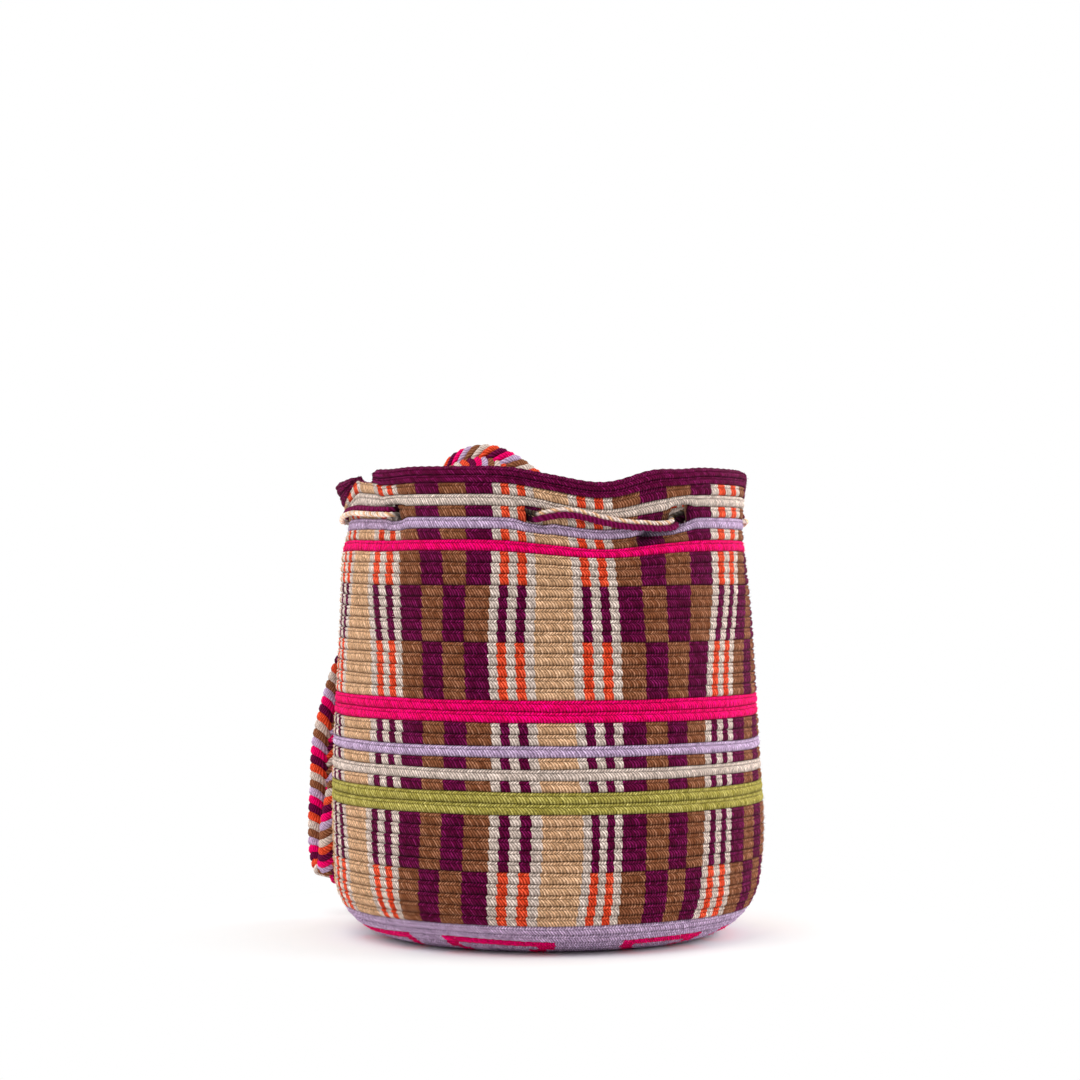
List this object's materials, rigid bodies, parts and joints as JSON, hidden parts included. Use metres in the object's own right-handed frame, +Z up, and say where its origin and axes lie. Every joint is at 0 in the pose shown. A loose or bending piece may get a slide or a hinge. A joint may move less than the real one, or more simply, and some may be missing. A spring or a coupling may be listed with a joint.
{
  "type": "crossbody bag",
  "caption": "Round crocheted bucket bag with ridged patterned walls, a gathered mouth laced with a drawstring, and a flat braided shoulder strap that crosses the mouth and loops down one side.",
  "frame": {"origin": "centre of the underside, on the surface the bag stands on", "axes": "+Z up through the mouth; -Y is the front that the picture shows, where the drawstring's middle stretch lies outside; the strap's loop hangs at -X"},
  "size_m": [0.2613, 0.2428, 0.2744],
  "materials": {
    "crocheted_yarn": "matt spun yarn in many colours, crocheted in ridged rounds",
    "cord_yarn": "matt dark plum cord beside an ivory and tan twisted cord",
    "cord_end_yarn": "matt dark plum cord",
    "braid_yarn": "matt spun yarn in six colours, braided flat"
  },
  "bodies": {
    "root": {"bag_body": "crocheted_yarn", "drawstring": "cord_yarn", "drawstring_tie_knot": "cord_end_yarn", "drawstring_tail_left": "cord_end_yarn", "drawstring_tail_right": "cord_end_yarn", "drawstring_end_knot_left": "cord_end_yarn", "drawstring_end_knot_right": "cord_end_yarn", "strap": "braid_yarn"}
  },
  "joints": []
}
